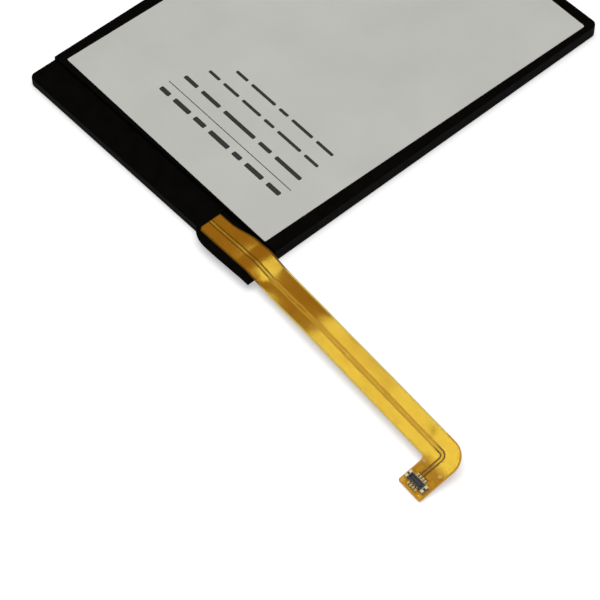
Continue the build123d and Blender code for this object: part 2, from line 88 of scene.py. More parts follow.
# The flexible circuit's line and layers, in mm and degrees, as its solids have them. On it, w is
# across the circuit, positive to its left, and s is along it, from the pack's side outwards.
FLEX_LEFT = 2.63
FLEX_RIGHT = 2.92
FLEX_SWELL = 0.42
SWELL_LENGTH = 22.0
FLEX_ROOT_WIDTH = 4.95
FLEX_OVERHANG = 0.12
FLEX_START = -21.0
ROOT_WINDOW = 13.18
HIDDEN_INSET = 0.54
FLARE_START = 10.5
FLARE_END = 3.5
FILM_THICKNESS = 0.05
COPPER_THICKNESS = 0.04
LAYER_GAP = 0.015
COPPER_LEVEL = FILM_THICKNESS + LAYER_GAP
COVER_LEVEL = COPPER_LEVEL + COPPER_THICKNESS + LAYER_GAP
FLEX_THICKNESS = COVER_LEVEL + FILM_THICKNESS
COPPER_MARGIN = 0.3
TRACE_HALF = 0.21
PLANE_EDGE = 0.47
TRACE_RADIUS = 1.0
TRACE_LEG_SHIFT = -0.32
INNER_RADIUS = 0.7
OUTER_RADIUS = 3.9
TIP_RADIUS = 0.45
LEG_CENTRE = 9.54
LEG_REACH = 8.3
RUN_LENGTH = 40.5
RUN_LIFT = 0.54
TURN_START = -1.5
RUN_TURN = 4.2
CONNECTOR_PLACE = 6.35
CONNECTOR_LENGTH = 3.3
CONNECTOR_WIDTH = 1.2
CONTACT_COUNT = 4
CONTACT_PITCH = 0.6
CONTACT_WIDTH = 0.28
CONTACT_FOOT = 0.65
POWER_LENGTH = 0.58
POWER_WIDTH = 1.4
PAD_MARGIN = 0.1
TRACE_END_GAP = 0.26
COPPER_REACH = LEG_REACH - COPPER_MARGIN
TRACE_REACH = CONNECTOR_PLACE - CONNECTOR_WIDTH / 2 - CONTACT_FOOT - TRACE_END_GAP
RUN_END = RUN_LENGTH + LEG_CENTRE

# Stations of the free run: distance, height, turn, pitch and twist
FLEX_STATIONS = (
    (-FLARE_END, 0.0, 0.0, 0.0, 0.0),
    (-0.83 * FLARE_END, 0.085 * RUN_LIFT, 0.0, 4.5, 0.2),
    (-0.57 * FLARE_END, 0.26 * RUN_LIFT, 0.0, 7.5, 1.2),
    (-0.34 * FLARE_END, 0.41 * RUN_LIFT, RUN_TURN / 4, 1.0, 2.2),
    (0.0, 0.36 * RUN_LIFT, RUN_TURN / 2, -4.0, 2.8),
    (0.043 * RUN_LENGTH, 0.07 * RUN_LIFT, RUN_TURN, -5.5, 4.0),
    (0.08 * RUN_LENGTH, -0.16 * RUN_LIFT, RUN_TURN, -2.5, 5.6),
    (0.125 * RUN_LENGTH, -0.2 * RUN_LIFT, RUN_TURN, 1.5, 7.0),
    (0.22 * RUN_LENGTH, 0.1 * RUN_LIFT, RUN_TURN, 3.2, 8.2),
    (0.31 * RUN_LENGTH, 0.45 * RUN_LIFT, RUN_TURN, 2.6, 8.3),
    (0.39 * RUN_LENGTH, 0.7 * RUN_LIFT, RUN_TURN, 1.3, 8.2),
    (0.47 * RUN_LENGTH, 0.8 * RUN_LIFT, RUN_TURN, 0.5, 9.0),
    (0.66 * RUN_LENGTH, 0.9 * RUN_LIFT, RUN_TURN, 0.4, 12.5),
    (0.84 * RUN_LENGTH, 0.98 * RUN_LIFT, RUN_TURN, 0.2, 15.5),
    (0.99 * RUN_LENGTH, RUN_LIFT, RUN_TURN, 0.0, 16.0),
    (RUN_LENGTH, RUN_LIFT, RUN_TURN, 0.0, 16.0),
)

# Soft dents in the circuit: place along, place across, length, width, height
FLEX_DENTS = (
    (-5.6, -2.2, 2.4, 3.6, 0.2),
    (3.5, 3.4, 3.2, 2.0, 0.36),
    (3.3, 1.9, 1.0, 1.5, -0.05),
    (15.2, -2.0, 4.4, 1.8, 0.18),
    (29.5, 1.8, 2.4, 1.7, -0.05),
    (35.5, -1.4, 2.6, 1.8, 0.04),
    (40.6, 2.4, 1.1, 1.1, 0.05),
    (45.9, -1.9, 1.5, 1.0, 0.1),
)

# Openings in the copper of the leg: from and to across, and from and to along the leg's width
POSITIVE_OPENING = (3.75, 5.1, -2.1, -1.2)
NEGATIVE_OPENING = (4.25, 5.2, 1.45, 2.4)

# Plated holes in the leg, made as dark discs on the film whose colour is dark plating with the
# shade inside
# the holes painted in: place across and along its width, and radius. Then how far the middle of
# their plating lies over the film, its depth and its sides.
LEG_HOLES = ((2.75, -0.64, 0.15), (3.42, 0.06, 0.15))
HOLE_RISE = 0.01
HOLE_DEPTH = 0.03
HOLE_SIDES = 16

# Dark tongues of the body in its end contacts: half width, length and height
TONGUE_SIZE = (0.19, 0.52, 0.42)

# Where the flexible circuit's mesh is cut: from, to and step along it, the step across it and at
# the root's window, how near a cut meets a point, and the segments of a rounded corner
FLEX_CUTS = ((-21.0, -14.0, 1.75), (-13.3, -4.0, 0.6), (-4.0, 12.0, 0.25), (12.0, 52.6, 0.5))
FLEX_CROSS_STEP = 0.45
ROOT_CUT_STEP = 0.05
CUT_TOLERANCE = 0.0001
CORNER_SEGMENTS = 12

# Where the base film looks darker or paler, in mm: each pair is the place where that starts and
# the place where it is full. Those along the leg's width count from the leg's middle line.
ON_PACK = (4.5, 2.5)
BEND_NEAR = (-3.4, -2.0)
PLATE_NEAR = (-1.2, -1.1)
PLATE_FAR = (1.2, 1.1)
PLATE_RIGHT = (-1.0, -0.8)
PLATE_LEFT = (7.8, 7.7)
PALE_RUN = (-2.6, -3.4)
PALE_LEFT = (2.28, 2.34)
PALE_RIGHT = (-2.55, -2.63)
# Where across the circuit the near edge of the dark part goes over from BEND_NEAR to PLATE_NEAR
BEND_TO_PLATE = (0.6, 0.7)

# Where the leg's copper is worn, in the same way, and its added roughness and its gloss there
WORN_NEAR = (-3.4, -2.2)
WORN_RIGHT = (1.4, 3.2)
WORN_LEFT = (8.6, 6.8)
WORN_ROUGHNESS = 0.22
WORN_GLOSS = 0.2

# Look of the copper through amber film: its gloss, its index, the tint of its mirror, roughness
# and the darker shade of the trace. Then the roughness of the films.
COPPER_GLOSS = 0.5
COPPER_INDEX = 3.1
COPPER_MIRROR = (0.95, 0.73, 0.08)
COPPER_ROUGHNESS = 0.16
TRACE_ROUGHNESS = 0.3
TRACE_SHADE = 0.8
COVER_ROUGHNESS = 0.2
BASE_ROUGHNESS = 0.4

# How much smoother and rougher than its setting the black film gets where it is rubbed
FILM_SMOOTHER = 0.08
FILM_ROUGHER = 0.1

# Materials inside the pack: name, colour, roughness, grain in turns per metre, and nodes
INSIDE_METALS = (
    ("pouch_foil", (0.72, 0.72, 0.72), 0.4, 3000.0, ("pouch_cell",)),
    ("aluminium_tab", (0.78, 0.78, 0.78), 0.35, 9000.0, ("positive_tab",)),
    (
        "nickel_strip",
        (0.66, 0.64, 0.6),
        0.3,
        9000.0,
        ("negative_tab", "positive_lead", "negative_lead"),
    ),
)
INSIDE_MOULDINGS = (
    ("tab_sealant", (0.75, 0.73, 0.68), 0.4, ("positive_tab_film", "negative_tab_film")),
    ("foam_pad", (0.03, 0.03, 0.03), 0.9, ("terrace_pad",)),
    ("board_laminate", (0.01, 0.06, 0.03), 0.35, ("protection_board",)),
    ("board_sheet", (0.02, 0.02, 0.02), 0.5, ("board_cover_sheet",)),
    (
        "chip_plastic",
        (0.02, 0.02, 0.02),
        0.5,
        ("protection_ic", "mosfet_a", "mosfet_b", "thermal_fuse"),
    ),
    (
        "chip_ceramic",
        (0.35, 0.27, 0.18),
        0.4,
        ("thermistor", "board_resistors", "board_capacitors"),
    ),
)


# Helpers for meshes


def keep_piece(mesh_maker, name, material):
    """Make an object of a bmesh, give it its material and slot, and let it ride on the pack."""
    mesh = bpy.data.meshes.new(name)
    bmesh.ops.recalc_face_normals(mesh_maker, faces=mesh_maker.faces)
    mesh_maker.to_mesh(mesh)
    mesh_maker.free()
    piece = bpy.data.objects.new(name, mesh)
    bpy.context.scene.collection.objects.link(piece)
    mesh.materials.append(material)
    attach(piece, BODY)
    return piece


def add_bar(mesh_maker, low, high, corner, place):
    """A flat bar between two corners, with rounded upright edges, moved to its place."""
    made = bmesh.ops.create_cube(mesh_maker, size=1.0)["verts"]
    size = [b - a for a, b in zip(low, high)]
    middle = [(a + b) / 2 for a, b in zip(low, high)]
    bmesh.ops.scale(mesh_maker, vec=size, verts=made)
    upright = [
        edge
        for edge in {edge for vert in made for edge in vert.link_edges}
        if abs(edge.verts[0].co.z - edge.verts[1].co.z) > size[2] / 2
    ]
    rounded = bmesh.ops.bevel(
        mesh_maker,
        geom=upright,
        offset=corner,
        offset_type="OFFSET",
        segments=3,
        profile=0.5,
        affect="EDGES",
        material=-1,
    )
    verts = {vert for face in rounded["faces"] for vert in face.verts}
    for face in rounded["faces"]:
        for edge in face.edges:
            for near in edge.link_faces:
                verts.update(near.verts)
    bmesh.ops.transform(mesh_maker, matrix=place @ Matrix.Translation(middle), verts=list(verts))


def ease(share):
    """A smooth step from 0 to 1."""
    share = min(1.0, max(0.0, share))
    return share * share * (3 - 2 * share)


def root_point():
    """Where the circuit's line crosses the pack's side, at its seat, in mm."""
    side_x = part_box("cell_wrap")[0].x / MM
    end_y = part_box("end_wrap")[1].y / MM
    seat_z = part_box("flex_backing_tab")[1].z / MM
    return Vector((side_x, end_y + FLEX_OVERHANG - FLEX_LEFT, seat_z))


def station_vectors(station):
    """The place, the direction across and the normal of one station, in mm."""
    distance, height, turn, pitch, twist = station
    turn, pitch, twist = math.radians(turn), math.radians(pitch), math.radians(twist)
    shift = max(0.0, distance - TURN_START) * math.tan(math.radians(RUN_TURN))
    along = Vector(
        (
            -math.cos(turn) * math.cos(pitch),
            math.sin(turn) * math.cos(pitch),
            math.sin(pitch),
        )
    )
    level = Vector((math.sin(turn), math.cos(turn), 0.0))
    upright = level.cross(along)
    across = level * math.cos(twist) - upright * math.sin(twist)
    normal = upright * math.cos(twist) + level * math.sin(twist)
    return root_point() + Vector((-distance, shift, height)), across, normal


def glide(values, marks, index, share):
    """A smooth curve through the values at the marks, from one mark to the next."""
    slopes = []
    for near in (index, index + 1):
        low, high = max(0, near - 1), min(len(marks) - 1, near + 1)
        slopes.append((values[high] - values[low]) / (marks[high] - marks[low]))
    step = marks[index + 1] - marks[index]
    square, cube = share * share, share * share * share
    return (
        values[index] * (2 * cube - 3 * square + 1)
        + slopes[0] * ((cube - 2 * square + share) * step)
        + values[index + 1] * (3 * square - 2 * cube)
        + slopes[1] * ((cube - square) * step)
    )


class FlexLine:
    """The line of the flexible circuit, through its stations."""

    def __init__(self):
        found = [station_vectors(station) for station in FLEX_STATIONS]
        self.marks = [station[0] for station in FLEX_STATIONS]
        self.tracks = [[vectors[part] for vectors in found] for part in range(3)]

    def at(self, s):
        """The place, the direction across and the normal at a distance."""
        if s <= self.marks[0]:
            place = self.tracks[0][0] + Vector((self.marks[0] - s, 0.0, 0.0))
            return place, self.tracks[1][0], self.tracks[2][0]
        if s >= self.marks[-1]:
            across, normal = self.tracks[1][-1], self.tracks[2][-1]
            along = normal.cross(across)
            return self.tracks[0][-1] + along * (s - self.marks[-1]), across, normal
        index = max(i for i, mark in enumerate(self.marks) if mark <= s)
        share = (s - self.marks[index]) / (self.marks[index + 1] - self.marks[index])
        place, across, normal = (
            glide(track, self.marks, index, share) for track in self.tracks
        )
        return place, across.normalized(), normal.normalized()

    def point(self, w, s, height):
        """A point of the circuit in metres."""
        place, across, normal = self.at(s)
        for mark, side, length, width, depth in FLEX_DENTS:
            reach = ((s - mark) / length) ** 2 + ((w - side) / width) ** 2
            height += depth * math.exp(-reach)
        return (place + across * w + normal * height) * MM


def fitted_width(w, s):
    """Where a point of the straight layout lies across, once the circuit flares at its root."""
    if w < -PLANE_EDGE:
        narrow = FLEX_ROOT_WIDTH - FLEX_LEFT
        wide = FLEX_RIGHT + FLEX_SWELL * max(0.0, 1 - max(0.0, s + FLARE_END) / SWELL_LENGTH)
        edge = narrow + (wide - narrow) * ease((s + FLARE_START) / (FLARE_START - FLARE_END))
        return -PLANE_EDGE + (w + PLANE_EDGE) * (edge - PLANE_EDGE) / (FLEX_RIGHT - PLANE_EDGE)
    if w > PLANE_EDGE and s < -ROOT_WINDOW:
        edge = FLEX_LEFT - HIDDEN_INSET
        return PLANE_EDGE + (w - PLANE_EDGE) * (edge - PLANE_EDGE) / (FLEX_LEFT - PLANE_EDGE)
    return w


def flex_layer(name, outline, radii, level, thickness, windows, material, node):
    """One layer of the flexible circuit: its outline in w and s with rounded corners, cut fine,
    opened at its windows, thickened, and bent along the circuit's line."""
    line = FlexLine()
    layer = bmesh.new()
    corners = [layer.verts.new((w, s, level)) for w, s in outline]
    layer.faces.new(corners)
    for corner, radius in zip(corners, radii):
        if radius > 0:
            bmesh.ops.bevel(
                layer,
                geom=[corner],
                offset=radius,
                offset_type="OFFSET",
                segments=CORNER_SEGMENTS,
                profile=0.5,
                affect="VERTICES",
                material=-1,
            )
    cuts = [((0, s, 0), (0, 1, 0)) for s in (-ROOT_WINDOW - ROOT_CUT_STEP, -ROOT_WINDOW)]
    for start, end, step in FLEX_CUTS:
        count = round((end - start) / step)
        cuts += [((0, start + step * i, 0), (0, 1, 0)) for i in range(count)]
    count = round((LEG_REACH + FLEX_RIGHT) / FLEX_CROSS_STEP)
    cuts += [((-FLEX_RIGHT + FLEX_CROSS_STEP * i, 0, 0), (1, 0, 0)) for i in range(1, count)]
    for w_low, w_high, s_low, s_high in windows:
        cuts += [((w, 0, 0), (1, 0, 0)) for w in (w_low, w_high)]
        cuts += [((0, s, 0), (0, 1, 0)) for s in (s_low, s_high)]
    for place, direction in cuts:
        geometry = layer.verts[:] + layer.edges[:] + layer.faces[:]
        bmesh.ops.bisect_plane(
            layer, geom=geometry, dist=CUT_TOLERANCE, plane_co=place, plane_no=direction
        )
    opened = []
    for face in layer.faces:
        middle = face.calc_center_median()
        for w_low, w_high, s_low, s_high in windows:
            if w_low < middle.x < w_high and s_low < middle.y < s_high:
                opened.append(face)
                break
    bmesh.ops.delete(layer, geom=opened, context="FACES")
    raised = bmesh.ops.extrude_face_region(layer, geom=layer.faces[:], use_keep_orig=True)
    verts = [part for part in raised["geom"] if isinstance(part, bmesh.types.BMVert)]
    bmesh.ops.translate(layer, verts=verts, vec=(0, 0, thickness))
    bmesh.ops.recalc_face_normals(layer, faces=layer.faces)
    layout = layer.loops.layers.uv.new(LAYOUT)
    for face in layer.faces:
        face.smooth = abs(face.normal.z) > 0.5
        for loop in face.loops:
            loop[layout].uv = (loop.vert.co.x, loop.vert.co.y)
    for edge in layer.edges:
        edge.smooth = all(face.smooth for face in edge.link_faces)
    for vert in layer.verts:
        w, s, height = vert.co
        vert.co = line.point(fitted_width(w, s), s, height)
    piece = keep_piece(layer, name, material)
    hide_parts(node)
    return piece


# Helpers for materials


def start_material(name, colour, roughness, metallic=0.0, specular=0.5):
    """A material whose shader holds the values that are the same all over."""
    material = bpy.data.materials.new(name)
    material.use_nodes = True
    shader = material.node_tree.nodes["Principled BSDF"]
    shader.inputs["Base Color"].default_value = (*colour, 1.0)
    shader.inputs["Roughness"].default_value = roughness
    shader.inputs["Metallic"].default_value = metallic
    shader.inputs["Specular IOR Level"].default_value = specular
    return material, shader


def feed(material, value, socket):
    """Give a socket a number, a colour or what another node makes."""
    if isinstance(value, bpy.types.NodeSocket):
        material.node_tree.links.new(value, socket)
    else:
        socket.default_value = value


def level_of(material, source, start, end, low=0.0, high=1.0):
    """A value that runs from low to high while its source runs from start to end."""
    levels = material.node_tree.nodes.new("ShaderNodeMapRange")
    feed(material, source, levels.inputs["Value"])
    feed(material, start, levels.inputs["From Min"])
    feed(material, end, levels.inputs["From Max"])
    feed(material, low, levels.inputs["To Min"])
    feed(material, high, levels.inputs["To Max"])
    return levels.outputs["Result"]


def join(material, operation, *values):
    """Join values by one sum, in turn."""
    result = values[0]
    for value in values[1:]:
        step = material.node_tree.nodes.new("ShaderNodeMath")
        step.operation = operation
        feed(material, result, step.inputs[0])
        feed(material, value, step.inputs[1])
        result = step.outputs["Value"]
    return result


def blend(material, share, low, high):
    """Mix two colours by a share."""
    mix = material.node_tree.nodes.new("ShaderNodeMix")
    mix.data_type = "RGBA"
    colours = [socket for socket in mix.inputs if socket.type == "RGBA"]
    feed(material, share, mix.inputs["Factor"])
    feed(material, low, colours[0])
    feed(material, high, colours[1])
    return next(socket for socket in mix.outputs if socket.type == "RGBA")


def layout_of(material):
    """The layout of a layer of the circuit: w across it and s along it, in mm."""
    layout = material.node_tree.nodes.new("ShaderNodeUVMap")
    layout.uv_map = LAYOUT
    parts = material.node_tree.nodes.new("ShaderNodeSeparateXYZ")
    material.node_tree.links.new(layout.outputs["UV"], parts.inputs["Vector"])
    return parts.outputs["X"], parts.outputs["Y"]


def noise_of(material, scale, detail, stretch=(1.0, 1.0, 1.0), roughness=0.5):
    """A noise over the piece's own place, with its scale in turns per metre."""
    nodes = material.node_tree.nodes
    links = material.node_tree.links
    place = nodes.new("ShaderNodeTexCoord")
    mapping = nodes.new("ShaderNodeMapping")
    mapping.inputs["Scale"].default_value = stretch
    noise = nodes.new("ShaderNodeTexNoise")
    noise.inputs["Scale"].default_value = scale
    noise.inputs["Detail"].default_value = detail
    noise.inputs["Roughness"].default_value = roughness
    links.new(place.outputs["Object"], mapping.inputs["Vector"])
    links.new(mapping.outputs["Vector"], noise.inputs["Vector"])
    return noise.outputs["Fac"]


def spread(material, source, socket, low, high, start=0.3, end=0.7):
    """Drive a value of the shader from a pattern, between two levels."""
    feed(material, level_of(material, source, start, end, low, high), socket)


def tint(material, source, socket, dark, light, start=0.3, end=0.7):
    """Drive a colour of the shader from a pattern, between two colours."""
    nodes = material.node_tree.nodes
    links = material.node_tree.links
    ramp = nodes.new("ShaderNodeValToRGB")
    ramp.color_ramp.elements[0].position = start
    ramp.color_ramp.elements[0].color = (*dark, 1.0)
    ramp.color_ramp.elements[1].position = end
    ramp.color_ramp.elements[1].color = (*light, 1.0)
    links.new(source, ramp.inputs["Fac"])
    links.new(ramp.outputs["Color"], socket)


def rough_up(material, shader, layers):
    """Chain bumps: each layer is a pattern, its strength and its depth in metres."""
    nodes = material.node_tree.nodes
    links = material.node_tree.links
    last = None
    for source, strength, depth in layers:
        bump = nodes.new("ShaderNodeBump")
        bump.inputs["Strength"].default_value = strength
        bump.inputs["Distance"].default_value = depth
        links.new(source, bump.inputs["Height"])
        if last is not None:
            links.new(last, bump.inputs["Normal"])
        last = bump.outputs["Normal"]
    links.new(last, shader.inputs["Normal"])


def shade(colour, share):
    """The colour made darker or lighter by a share."""
    return tuple(min(1.0, part * share) for part in colour)


def finish_nodes(material, names):
    """Give CAD nodes this material."""
    for name in names:
        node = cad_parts[name]
        node.data.materials.clear()
        node.data.materials.append(material)


def plain_metal(name, colour, roughness, grain=9000.0):
    """Rolled or plated metal with a fine grain."""
    material, shader = start_material(name, colour, roughness, metallic=1.0)
    fine = noise_of(material, grain, 3.0, stretch=(1.0, 4.0, 1.0))
    broad = noise_of(material, grain / 12, 2.0)
    spread(material, broad, shader.inputs["Roughness"], roughness * 0.8, roughness * 1.3)
    tint(material, broad, shader.inputs["Base Color"], shade(colour, 0.9), shade(colour, 1.06))
    rough_up(material, shader, ((fine, 0.15, 0.00001),))
    return material


def plain_moulding(name, colour, roughness, grain=6000.0):
    """Moulded plastic, ceramic or foam with a fine texture."""
    material, shader = start_material(name, colour, roughness, specular=0.35)
    fine = noise_of(material, grain, 4.0)
    broad = noise_of(material, grain / 15, 2.0)
    tint(material, broad, shader.inputs["Base Color"], shade(colour, 0.8), shade(colour, 1.2))
    rough_up(material, shader, ((fine, 0.2, 0.00002),))
    return material


def window_round(w, s, length, width):
    """The window of the cover film round one pad."""
    half_length = length / 2 + PAD_MARGIN
    half_width = width / 2 + PAD_MARGIN
    return w - half_length, w + half_length, s - half_width, s + half_width


def along_leg(span):
    """A span counted from the leg's middle line, moved to the circuit's own count."""
    start, end = span
    return RUN_END + start, RUN_END + end


def leg_opening(opening):
    """An opening of the leg, with its second pair moved in the same way."""
    return *opening[:2], *along_leg(opening[2:])


def amber_film(name, colour, alpha, roughness):
    """Clear glossy amber film."""
    film, shader = start_material(name, colour, roughness, specular=0.12)
    shader.inputs["Alpha"].default_value = alpha
    cloud = noise_of(film, 260.0, 3.0)
    ripple = noise_of(film, 300.0, 2.0)
    fine = noise_of(film, 5200.0, 3.0)
    tint(film, cloud, shader.inputs["Base Color"], shade(colour, 0.92), shade(colour, 1.06))
    spread(film, cloud, shader.inputs["Roughness"], roughness * 0.8, roughness * 1.3)
    rough_up(film, shader, ((ripple, 0.3, 0.0002), (fine, 0.08, 0.00001)))
    return film


def base_film(name, bare, backed, edge, alpha):
    """The film under the copper, darker where the pack or the stiffener backs it, and paler at
    the edges of the free run."""
    film, shader = start_material(name, bare, BASE_ROUGHNESS, specular=0.06)
    shader.inputs["Alpha"].default_value = alpha
    across, along = layout_of(film)
    on_pack = level_of(film, along, *ON_PACK)
    at_bend = level_of(film, along, *along_leg(BEND_NEAR))
    on_plate = level_of(film, along, *along_leg(PLATE_NEAR))
    plated = join(
        film,
        "MULTIPLY",
        level_of(film, across, *BEND_TO_PLATE, at_bend, on_plate),
        level_of(film, across, *PLATE_RIGHT),
        level_of(film, across, *PLATE_LEFT),
        level_of(film, along, *along_leg(PLATE_FAR)),
    )
    in_run = level_of(film, along, *along_leg(PALE_RUN))
    left_edge = level_of(film, across, *PALE_LEFT)
    right_edge = level_of(film, across, *PALE_RIGHT)
    at_edge = join(film, "MULTIPLY", join(film, "MAXIMUM", left_edge, right_edge), in_run)
    clear = blend(film, at_edge, (*bare, 1.0), (*edge, 1.0))
    colour = blend(film, join(film, "MAXIMUM", plated, on_pack), clear, (*backed, 1.0))
    feed(film, colour, shader.inputs["Base Color"])
    fine = noise_of(film, 5200.0, 3.0)
    rough_up(film, shader, ((fine, 0.12, 0.00001),))
    return film


def seen_copper(name, colour, polish):
    """Rolled copper as it looks through amber film: a deep amber that mirrors light as gold, and
    duller on the handled leg."""
    copper, shader = start_material(name, colour, polish, specular=COPPER_GLOSS)
    shader.inputs["IOR"].default_value = COPPER_INDEX
    shader.inputs["Specular Tint"].default_value = (*COPPER_MIRROR, 1.0)
    rolled = noise_of(copper, 900.0, 2.0, stretch=(0.25, 2.0, 1.0))
    cloud = noise_of(copper, 210.0, 3.0)
    waves = noise_of(copper, 240.0, 1.0)
    tint(copper, cloud, shader.inputs["Base Color"], shade(colour, 0.9), shade(colour, 1.1))
    across, along = layout_of(copper)
    handled = join(
        copper,
        "MULTIPLY",
        level_of(copper, across, *WORN_RIGHT),
        level_of(copper, across, *WORN_LEFT),
        level_of(copper, along, *along_leg(WORN_NEAR)),
    )
    wear = join(
        copper,
        "ADD",
        level_of(copper, handled, 0.0, 1.0, 0.0, WORN_ROUGHNESS),
        level_of(copper, rolled, 0.3, 0.7, polish * 0.85, polish * 1.2),
    )
    gloss = level_of(copper, handled, 0.0, 1.0, COPPER_GLOSS, WORN_GLOSS)
    feed(copper, wear, shader.inputs["Roughness"])
    feed(copper, gloss, shader.inputs["Specular IOR Level"])
    rough_up(copper, shader, ((waves, 0.25, 0.0002),))
    return copper


# Settings


class WrapSettings(bpy.types.PropertyGroup):
    """The black film round the pack."""

    film_colour: bpy.props.FloatVectorProperty(
        name="Film colour",
        description="Colour of the black film",
        default=(0.0019, 0.0016, 0.0012),
        min=0.0,
        max=1.0,
        subtype="COLOR",
    )
    film_roughness: bpy.props.FloatProperty(
        name="Film roughness",
        description="Roughness of the black film",
        default=0.5,
        min=0.0,
        max=1.0,
        subtype="FACTOR",
    )


class LabelSettings(bpy.types.PropertyGroup):
    """The label and its print."""

    label_colour: bpy.props.FloatVectorProperty(
        name="Label colour",
        description="Colour of the bare label",
        default=(0.5, 0.498, 0.465),
        min=0.0,
        max=1.0,
        subtype="COLOR",
    )
    print_colour: bpy.props.FloatVectorProperty(
        name="Print colour",
        description="Colour of the printed bars",
        default=(0.015, 0.015, 0.014),
        min=0.0,
        max=1.0,
        subtype="COLOR",
    )
    print_thickness: bpy.props.FloatProperty(
        name="Print thickness",
        description="Thickness of the ink",
        default=0.00001,
        min=0.0,
        unit="LENGTH",
        precision=6,
    )
    bar_corner: bpy.props.FloatProperty(
        name="Bar corner",
        description="Corner radius of the longer printed bars",
        default=0.00025,
        min=0.0,
        unit="LENGTH",
        precision=6,
    )


class FlexSettings(bpy.types.PropertyGroup):
    """The flexible circuit."""

    cover_colour: bpy.props.FloatVectorProperty(
        name="Cover film colour",
        description="Colour of the clear amber film over the copper",
        default=(0.45, 0.24, 0.01),
        min=0.0,
        max=1.0,
        subtype="COLOR",
    )
    cover_alpha: bpy.props.FloatProperty(
        name="Cover film strength",
        description="How much each side of the film over the copper hides what is under it",
        default=0.06,
        min=0.0,
        max=1.0,
        subtype="FACTOR",
    )
    base_colour: bpy.props.FloatVectorProperty(
        name="Base film colour",
        description="Colour of the film under the copper, which shows beside the copper",
        default=(0.66, 0.31, 0.003),
        min=0.0,
        max=1.0,
        subtype="COLOR",
    )
    backed_colour: bpy.props.FloatVectorProperty(
        name="Backed film colour",
        description="Colour of the same film where the pack or the stiffener backs it",
        default=(0.13, 0.055, 0.003),
        min=0.0,
        max=1.0,
        subtype="COLOR",
    )
    edge_colour: bpy.props.FloatVectorProperty(
        name="Edge film colour",
        description="Colour of the same film at the edges of the free run",
        default=(0.72, 0.6, 0.16),
        min=0.0,
        max=1.0,
        subtype="COLOR",
    )
    base_alpha: bpy.props.FloatProperty(
        name="Base film strength",
        description="How much each side of the film under the copper hides what is under it",
        default=0.8,
        min=0.0,
        max=1.0,
        subtype="FACTOR",
    )
    copper_colour: bpy.props.FloatVectorProperty(
        name="Copper colour",
        description="Colour of the copper as the amber film shows it",
        default=(0.3, 0.082, 0.0005),
        min=0.0,
        max=1.0,
        subtype="COLOR",
    )


class ConnectorSettings(bpy.types.PropertyGroup):
    """The connector on the tip of the flexible circuit."""

    body_colour: bpy.props.FloatVectorProperty(
        name="Body colour",
        description="Colour of the moulded body",
        default=(0.018, 0.018, 0.019),
        min=0.0,
        max=1.0,
        subtype="COLOR",
    )
    plate_colour: bpy.props.FloatVectorProperty(
        name="Plating colour",
        description="Colour of the gold plating",
        default=(0.34, 0.27, 0.13),
        min=0.0,
        max=1.0,
        subtype="COLOR",
    )
    soft_edge: bpy.props.FloatProperty(
        name="Soft edge",
        description="Width of the softened edges of the body and the contacts",
        default=0.00003,
        min=0.0,
        unit="LENGTH",
        precision=6,
    )
    contact_colour: bpy.props.FloatVectorProperty(
        name="Contact colour",
        description="Colour of the stout metal contacts",
        default=(0.4, 0.37, 0.26),
        min=0.0,
        max=1.0,
        subtype="COLOR",
    )


class StageSettings(bpy.types.PropertyGroup):
    """The floor and the light."""

    floor_size: bpy.props.FloatProperty(
        name="Floor size",
        description="Side of the square floor",
        default=6.0,
        min=0.1,
        unit="LENGTH",
    )
    floor_colour: bpy.props.FloatVectorProperty(
        name="Floor colour",
        description="Colour of the floor",
        default=(0.7, 0.7, 0.7),
        min=0.0,
        max=1.0,
        subtype="COLOR",
    )
    lamp_height: bpy.props.FloatProperty(
        name="Lamp height",
        description="Height of the soft box over the floor",
        default=0.9,
        min=0.1,
        unit="LENGTH",
    )
    lamp_size: bpy.props.FloatProperty(
        name="Lamp size",
        description="Width of the round soft box",
        default=1.0,
        min=0.1,
        unit="LENGTH",
    )
    lamp_power: bpy.props.FloatProperty(
        name="Lamp power",
        description="Power of the soft box in watts",
        default=7.6,
        min=0.0,
    )
    room_light: bpy.props.FloatProperty(
        name="Room light",
        description="Brightness of the room overhead",
        default=0.2,
        min=0.0,
    )


# Operators


class BATTERY_OT_finish_wraps(bpy.types.Operator):
    """Finish the black film of the pack and the backing tab"""

    bl_idname = "battery.finish_wraps"
    bl_label = "Finish wraps"

    def execute(self, context):
        settings = context.scene.battery_wrap
        colour = tuple(settings.film_colour)
        material, shader = start_material(
            "black_film", colour, settings.film_roughness, specular=0.01
        )
        grain = noise_of(material, 5200.0, 3.0)
        creases = noise_of(material, 160.0, 3.0, stretch=(1.0, 2.2, 1.0))
        rub = noise_of(material, 420.0, 5.0, roughness=0.65)
        tint(material, rub, shader.inputs["Base Color"], shade(colour, 0.75), shade(colour, 1.5))
        spread(
            material,
            rub,
            shader.inputs["Roughness"],
            settings.film_roughness - FILM_SMOOTHER,
            settings.film_roughness + FILM_ROUGHER,
        )
        rough_up(material, shader, ((creases, 0.25, 0.0004), (grain, 0.2, 0.00002)))
        finish_nodes(material, ("cell_wrap", "end_wrap", "flex_backing_tab"))
        return {"FINISHED"}


class BATTERY_OT_finish_label(bpy.types.Operator):
    """Finish the label on the pack"""

    bl_idname = "battery.finish_label"
    bl_label = "Finish label"

    def execute(self, context):
        colour = tuple(context.scene.battery_label.label_colour)
        material, shader = start_material("label_film", colour, 0.45, specular=0.3)
        fibre = noise_of(material, 4200.0, 4.0)
        cloud = noise_of(material, 90.0, 4.0)
        waves = noise_of(material, 70.0, 2.0)
        dark, light = shade(colour, 0.965), shade(colour, 1.03)
        tint(material, cloud, shader.inputs["Base Color"], dark, light)
        spread(material, cloud, shader.inputs["Roughness"], 0.4, 0.52)
        rough_up(material, shader, ((waves, 0.12, 0.0003), (fibre, 0.12, 0.00002)))
        finish_nodes(material, ("label",))
        return {"FINISHED"}


